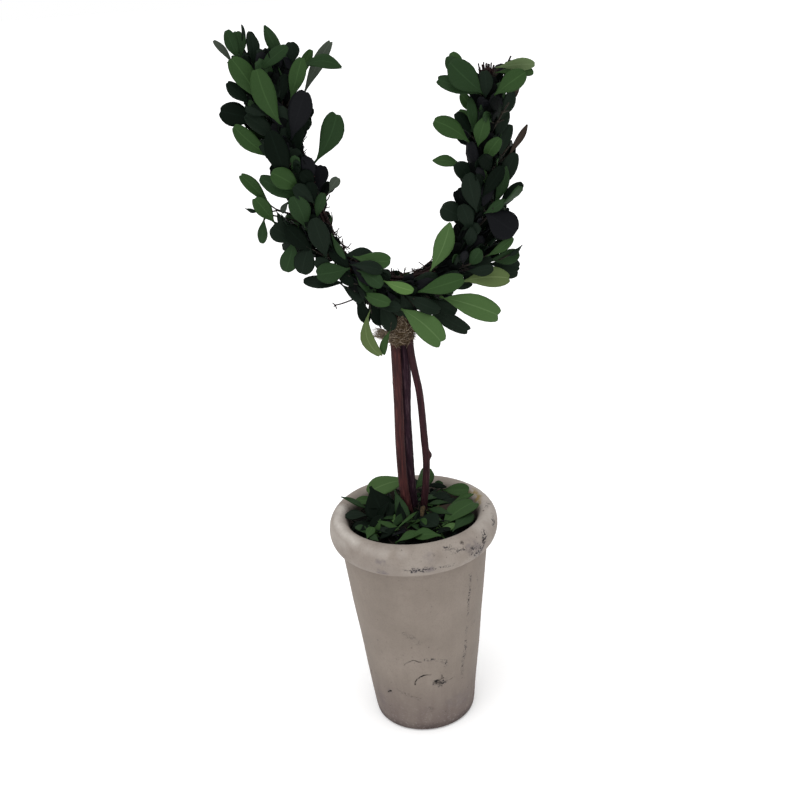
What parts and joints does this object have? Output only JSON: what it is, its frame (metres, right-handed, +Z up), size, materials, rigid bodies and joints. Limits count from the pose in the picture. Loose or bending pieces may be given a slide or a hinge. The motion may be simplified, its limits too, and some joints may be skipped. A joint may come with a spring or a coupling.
{
  "type": "potted boxwood monogram topiary",
  "caption": "Preserved boxwood topiary in the shape of a U on three bare stems bound with jute, in a worn long clay pot with a rolled rim and a bed of loose leaves",
  "frame": {"origin": "centre of the pot's flat underside", "axes": "+X to the right across the U as seen from its front, +Y away from the viewer, +Z up"},
  "size_m": [0.177, 0.1086, 0.4522],
  "materials": {
    "worn_clay": "matte, weathered",
    "dry_filling": "rough",
    "bed_leaves": "satin leaf",
    "stem_bark": "bare, ridged bark",
    "vine_bark": "dry twigs",
    "jute": "hairy twine",
    "boxwood_leaves": "satin leaf"
  },
  "bodies": {
    "root": {"pot": "worn_clay", "filling": "dry_filling", "leaf_bed": "bed_leaves", "stem_left": "stem_bark", "stem_middle": "stem_bark", "stem_right": "stem_bark", "twine_wrap": "jute", "vine_left_arm": "vine_bark", "vine_left_bend": "vine_bark", "vine_base": "vine_bark", "vine_right_bend": "vine_bark", "vine_right_arm": "vine_bark", "left_top_leaves": "boxwood_leaves", "left_middle_leaves": "boxwood_leaves", "left_low_leaves": "boxwood_leaves", "base_left_leaves": "boxwood_leaves", "base_right_leaves": "boxwood_leaves", "right_low_leaves": "boxwood_leaves", "right_middle_leaves": "boxwood_leaves", "right_top_leaves": "boxwood_leaves"}
  },
  "joints": []
}
